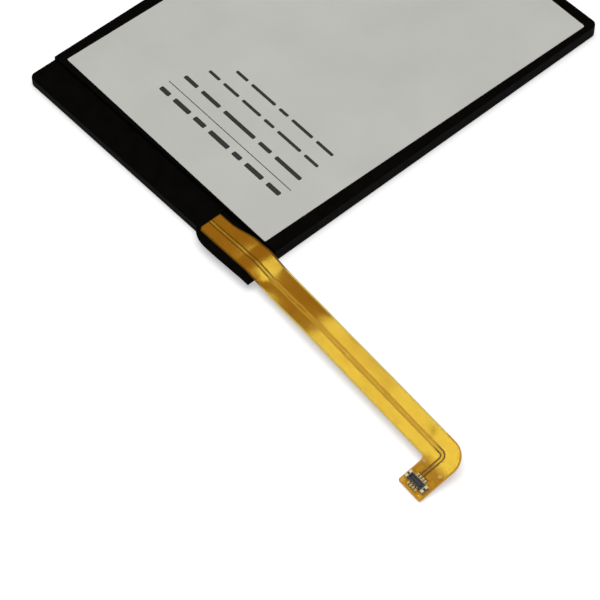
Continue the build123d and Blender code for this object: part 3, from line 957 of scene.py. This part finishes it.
class BATTERY_OT_add_print(bpy.types.Operator):
    """Print plain bars on the label, in rows"""

    bl_idname = "battery.add_print"
    bl_label = "Add label print"

    def execute(self, context):
        settings = context.scene.battery_label
        colour = tuple(settings.print_colour)
        material, shader = start_material("label_ink", colour, 0.5, specular=0.3)
        grain = noise_of(material, 3800.0, 4.0)
        tint(material, grain, shader.inputs["Base Color"], shade(colour, 0.7), shade(colour, 1.6))
        rough_up(material, shader, ((grain, 0.15, 0.00001),))
        points = [vert.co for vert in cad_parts["label"].data.vertices]
        top = max(point.z for point in points)
        corner = max(points, key=lambda point: point.y - point.x)
        far_corner = max(points, key=lambda point: point.y + point.x)
        turn = math.atan2(far_corner.y - corner.y, far_corner.x - corner.x)
        place = Matrix.Translation((corner.x, corner.y, top)) @ Matrix.Rotation(turn, 4, "Z")
        ink = bmesh.new()
        for left, row_top, height, widths, gap in PRINT_ROWS:
            start = left
            for width in widths:
                low = (start * MM, -(row_top + height) * MM, 0.0)
                high = ((start + width) * MM, -row_top * MM, settings.print_thickness)
                add_bar(ink, low, high, settings.bar_corner, place)
                start += width + gap
        left, line_top, width, height, corner_radius = PRINT_LINE
        low = (left * MM, -(line_top + height) * MM, 0.0)
        high = ((left + width) * MM, -line_top * MM, settings.print_thickness)
        add_bar(ink, low, high, corner_radius * MM, place)
        keep_piece(ink, "label_print", material)
        return {"FINISHED"}


class BATTERY_OT_build_flex(bpy.types.Operator):
    """Build the films and the copper of the flexible circuit"""

    bl_idname = "battery.build_flex"
    bl_label = "Build flexible circuit"

    def execute(self, context):
        settings = context.scene.battery_flex
        cover = amber_film(
            "amber_cover_film",
            tuple(settings.cover_colour),
            settings.cover_alpha,
            COVER_ROUGHNESS,
        )
        base = base_film(
            "amber_base_film",
            tuple(settings.base_colour),
            tuple(settings.backed_colour),
            tuple(settings.edge_colour),
            settings.base_alpha,
        )
        colour = tuple(settings.copper_colour)
        copper = seen_copper("flex_copper", colour, COPPER_ROUGHNESS)
        trace = seen_copper("trace_copper", shade(colour, TRACE_SHADE), TRACE_ROUGHNESS)
        leg_line = RUN_END + TRACE_LEG_SHIFT
        film_outline = (
            (-FLEX_RIGHT, FLEX_START),
            (FLEX_LEFT, FLEX_START),
            (FLEX_LEFT, RUN_END - FLEX_LEFT),
            (LEG_REACH, RUN_END - FLEX_LEFT),
            (LEG_REACH, RUN_END + FLEX_RIGHT),
            (-FLEX_RIGHT, RUN_END + FLEX_RIGHT),
        )
        film_radii = (0, 0, INNER_RADIUS, TIP_RADIUS, TIP_RADIUS, OUTER_RADIUS)
        windows = []
        for side in (-1, 1):
            row = CONNECTOR_PLACE + side * (CONNECTOR_WIDTH + CONTACT_FOOT) / 2
            for index in range(CONTACT_COUNT):
                place = RUN_END + (index - (CONTACT_COUNT - 1) / 2) * CONTACT_PITCH
                windows.append(window_round(row, place, CONTACT_FOOT, CONTACT_WIDTH))
            place = RUN_END + side * (CONNECTOR_LENGTH + POWER_LENGTH) / 2
            windows.append(window_round(CONNECTOR_PLACE, place, POWER_WIDTH, POWER_LENGTH))
        flex_layer(
            "flex_cover",
            film_outline,
            film_radii,
            COVER_LEVEL,
            FILM_THICKNESS,
            windows,
            cover,
            "flex_cover_film",
        )
        flex_layer(
            "flex_base",
            film_outline,
            film_radii,
            0.0,
            FILM_THICKNESS,
            (),
            base,
            "flex_base_film",
        )
        left = FLEX_LEFT - COPPER_MARGIN
        right = FLEX_RIGHT - COPPER_MARGIN
        bay = CONNECTOR_LENGTH / 2
        flex_layer(
            "flex_positive_plane",
            (
                (PLANE_EDGE, FLEX_START),
                (left, FLEX_START),
                (left, RUN_END - left),
                (COPPER_REACH, RUN_END - left),
                (COPPER_REACH, RUN_END - bay),
                (TRACE_REACH, RUN_END - bay),
                (TRACE_REACH, leg_line - PLANE_EDGE),
                (PLANE_EDGE, leg_line - PLANE_EDGE),
            ),
            (0, 0, INNER_RADIUS + COPPER_MARGIN, 0, 0, 0, 0, TRACE_RADIUS - PLANE_EDGE),
            COPPER_LEVEL,
            COPPER_THICKNESS,
            (leg_opening(POSITIVE_OPENING),),
            copper,
            "flex_positive_copper",
        )
        flex_layer(
            "flex_negative_plane",
            (
                (-right, FLEX_START),
                (-PLANE_EDGE, FLEX_START),
                (-PLANE_EDGE, leg_line + PLANE_EDGE),
                (TRACE_REACH, leg_line + PLANE_EDGE),
                (TRACE_REACH, RUN_END + bay),
                (COPPER_REACH, RUN_END + bay),
                (COPPER_REACH, RUN_END + right),
                (-right, RUN_END + right),
            ),
            (0, 0, TRACE_RADIUS + PLANE_EDGE, 0, 0, 0, 0, OUTER_RADIUS - COPPER_MARGIN),
            COPPER_LEVEL,
            COPPER_THICKNESS,
            (leg_opening(NEGATIVE_OPENING),),
            copper,
            "flex_negative_copper",
        )
        flex_layer(
            "flex_trace",
            (
                (-TRACE_HALF, FLEX_START),
                (TRACE_HALF, FLEX_START),
                (TRACE_HALF, leg_line - TRACE_HALF),
                (TRACE_REACH, leg_line - TRACE_HALF),
                (TRACE_REACH, leg_line + TRACE_HALF),
                (-TRACE_HALF, leg_line + TRACE_HALF),
            ),
            (0, 0, TRACE_RADIUS - TRACE_HALF, 0, 0, TRACE_RADIUS + TRACE_HALF),
            COPPER_LEVEL,
            COPPER_THICKNESS,
            (),
            trace,
            "flex_sense_trace",
        )
        solder = plain_metal("soft_solder", (0.62, 0.62, 0.6), 0.35)
        finish_nodes(solder, ("flex_root_solder",))
        return {"FINISHED"}


class BATTERY_OT_finish_connector(bpy.types.Operator):
    """Finish the connector, its pads and its stiffener"""

    bl_idname = "battery.finish_connector"
    bl_label = "Finish connector"

    def execute(self, context):
        settings = context.scene.battery_connector
        gold = plain_metal("gold_plate", tuple(settings.plate_colour), 0.45)
        bare = plain_metal("bare_copper", (0.44, 0.25, 0.075), 0.5)
        bright = plain_metal("contact_metal", tuple(settings.contact_colour), 0.42)
        steel = plain_metal("stiffener_steel", (0.42, 0.4, 0.38), 0.4)
        body = plain_moulding("connector_plastic", tuple(settings.body_colour), 0.42)
        finish_nodes(gold, ("connector_pads", "connector_signal_contacts"))
        finish_nodes(bare, ("flex_test_pads",))
        finish_nodes(bright, ("connector_power_contacts",))
        finish_nodes(steel, ("connector_stiffener",))
        finish_nodes(body, ("connector_housing",))
        for name in ("connector_housing", "connector_signal_contacts", "connector_power_contacts"):
            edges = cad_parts[name].modifiers.new("soft_edges", "BEVEL")
            edges.width = settings.soft_edge
            edges.segments = 2
        return {"FINISHED"}


class BATTERY_OT_add_leg_details(bpy.types.Operator):
    """Add the plated holes of the leg, as dark discs with the shade inside the holes painted in,
    and the tongues in the connector's end contacts
    """

    bl_idname = "battery.add_leg_details"
    bl_label = "Add leg details"

    def execute(self, context):
        settings = context.scene.battery_connector
        place, across, normal = FlexLine().at(RUN_END)
        along = normal.cross(across)
        facing = Matrix((across, along, normal)).transposed().to_4x4()
        leg = Matrix.Translation(place * MM) @ facing
        holes = bmesh.new()
        for w, s, radius in LEG_HOLES:
            centre = Matrix.Translation((w * MM, s * MM, (FLEX_THICKNESS + HOLE_RISE) * MM))
            bmesh.ops.create_cone(
                holes,
                cap_ends=True,
                segments=HOLE_SIDES,
                radius1=radius * MM,
                radius2=radius * MM,
                depth=HOLE_DEPTH * MM,
                matrix=leg @ centre,
            )
        # Dark plating, with the shade inside the holes painted into its colour
        dark = plain_metal("plating_and_painted_hole_shade", (0.12, 0.06, 0.02), 0.5)
        keep_piece(holes, "flex_holes", dark)
        tongues = bmesh.new()
        half, length, height = TONGUE_SIZE
        for side in (-1, 1):
            near = side * CONNECTOR_LENGTH / 2
            far = near + side * length
            low = ((CONNECTOR_PLACE - half) * MM, min(near, far) * MM, FLEX_THICKNESS * MM)
            high = (
                (CONNECTOR_PLACE + half) * MM,
                max(near, far) * MM,
                (FLEX_THICKNESS + height) * MM,
            )
            add_bar(tongues, low, high, settings.soft_edge, leg)
        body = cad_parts["connector_housing"].data.materials[0]
        keep_piece(tongues, "connector_tongues", body)
        return {"FINISHED"}


class BATTERY_OT_finish_inside(bpy.types.Operator):
    """Finish the cell, the board and what is on it"""

    bl_idname = "battery.finish_inside"
    bl_label = "Finish inside"

    def execute(self, context):
        for name, colour, roughness, grain, nodes in INSIDE_METALS:
            finish_nodes(plain_metal(name, colour, roughness, grain=grain), nodes)
        for name, colour, roughness, nodes in INSIDE_MOULDINGS:
            finish_nodes(plain_moulding(name, colour, roughness), nodes)
        return {"FINISHED"}


class BATTERY_OT_set_stage(bpy.types.Operator):
    """Set the floor, the lamp, the room light and the camera"""

    bl_idname = "battery.set_stage"
    bl_label = "Set stage"

    def execute(self, context):
        settings = context.scene.battery_stage
        scene = context.scene
        scene.view_settings.view_transform = "Standard"

        sheet = bmesh.new()
        bmesh.ops.create_grid(sheet, x_segments=1, y_segments=1, size=settings.floor_size / 2)
        mesh = bpy.data.meshes.new("floor")
        sheet.to_mesh(mesh)
        sheet.free()
        floor = bpy.data.objects.new("floor", mesh)
        scene.collection.objects.link(floor)
        floor.location.z = -FLOOR_DROP
        colour = tuple(settings.floor_colour)
        paper, shader = start_material("floor_paper", colour, 0.8, specular=0.1)
        path = paper.node_tree.nodes.new("ShaderNodeLightPath")
        rays = [path.outputs[f"Is {kind} Ray"] for kind in ("Camera", "Glossy", "Transmission")]
        seen = join(paper, "MAXIMUM", *rays)
        shader.inputs["Emission Color"].default_value = (1.0, 1.0, 1.0, 1.0)
        feed(paper, join(paper, "MULTIPLY", seen, FLOOR_LIFT), shader.inputs["Emission Strength"])
        mesh.materials.append(paper)

        lamp_data = bpy.data.lights.new("soft_box", "AREA")
        lamp_data.shape = "DISK"
        lamp_data.size = settings.lamp_size
        lamp_data.energy = settings.lamp_power
        lamp = bpy.data.objects.new("soft_box", lamp_data)
        lamp.location = (*LAMP_PLACE, settings.lamp_height)
        scene.collection.objects.link(lamp)

        world = bpy.data.worlds.new("room")
        scene.world = world
        world.use_nodes = True
        nodes = world.node_tree.nodes
        links = world.node_tree.links
        backdrop = nodes["Background"]
        direction = nodes.new("ShaderNodeTexCoord")
        parts = nodes.new("ShaderNodeSeparateXYZ")
        links.new(direction.outputs["Generated"], parts.inputs["Vector"])
        ramp = nodes.new("ShaderNodeValToRGB")
        horizon, sky = ramp.color_ramp.elements
        horizon.position = HORIZON_HEIGHT
        horizon.color = (HORIZON_LIGHT, HORIZON_LIGHT, HORIZON_LIGHT, 1.0)
        sky.position = SKY_HEIGHT
        sky.color = (settings.room_light, settings.room_light, settings.room_light, 1.0)
        links.new(parts.outputs["Z"], ramp.inputs["Fac"])
        links.new(ramp.outputs["Color"], backdrop.inputs["Color"])

        camera_data = bpy.data.cameras.new("photo_camera")
        camera_data.lens = CAMERA_LENS
        camera_data.sensor_width = CAMERA_SENSOR
        camera = bpy.data.objects.new("photo_camera", camera_data)
        azimuth = math.radians(CAMERA_AZIMUTH)
        elevation = math.radians(CAMERA_ELEVATION)
        back = Vector(
            (
                math.sin(azimuth) * math.cos(elevation),
                -math.cos(azimuth) * math.cos(elevation),
                math.sin(elevation),
            )
        )
        camera.location = CAMERA_PLACE
        camera.rotation_mode = "QUATERNION"
        camera.rotation_quaternion = (-back).to_track_quat("-Z", "Y")
        scene.collection.objects.link(camera)
        scene.camera = camera
        return {"FINISHED"}


class BATTERY_PT_panel(bpy.types.Panel):
    """Lists the battery's settings and steps"""

    bl_idname = "BATTERY_PT_panel"
    bl_label = "Battery"
    bl_space_type = "VIEW_3D"
    bl_region_type = "UI"
    bl_category = "Battery"

    def draw(self, context):
        layout = self.layout
        for step in STEPS:
            layout.operator(step.bl_idname)
        for name in SETTINGS:
            group = getattr(context.scene, name)
            for key in group.__annotations__:
                layout.prop(group, key)


STEPS = (
    BATTERY_OT_finish_wraps,
    BATTERY_OT_finish_label,
    BATTERY_OT_add_print,
    BATTERY_OT_build_flex,
    BATTERY_OT_finish_connector,
    BATTERY_OT_add_leg_details,
    BATTERY_OT_finish_inside,
    BATTERY_OT_set_stage,
)
SETTINGS = {
    "battery_wrap": WrapSettings,
    "battery_label": LabelSettings,
    "battery_flex": FlexSettings,
    "battery_connector": ConnectorSettings,
    "battery_stage": StageSettings,
}


def register():
    """Register the settings, the steps and the panel."""
    for name, group in SETTINGS.items():
        bpy.utils.register_class(group)
        setattr(bpy.types.Scene, name, bpy.props.PointerProperty(type=group))
    for step in STEPS:
        bpy.utils.register_class(step)
    bpy.utils.register_class(BATTERY_PT_panel)


def unregister():
    """Take the panel, the steps and the settings away again."""
    bpy.utils.unregister_class(BATTERY_PT_panel)
    for step in reversed(STEPS):
        bpy.utils.unregister_class(step)
    for name, group in SETTINGS.items():
        delattr(bpy.types.Scene, name)
        bpy.utils.unregister_class(group)


def main():
    """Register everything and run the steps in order."""
    register()
    bpy.ops.battery.finish_wraps()
    bpy.ops.battery.finish_label()
    bpy.ops.battery.add_print()
    bpy.ops.battery.build_flex()
    bpy.ops.battery.finish_connector()
    bpy.ops.battery.add_leg_details()
    bpy.ops.battery.finish_inside()
    bpy.ops.battery.set_stage()


if __name__ == "__main__":
    main()
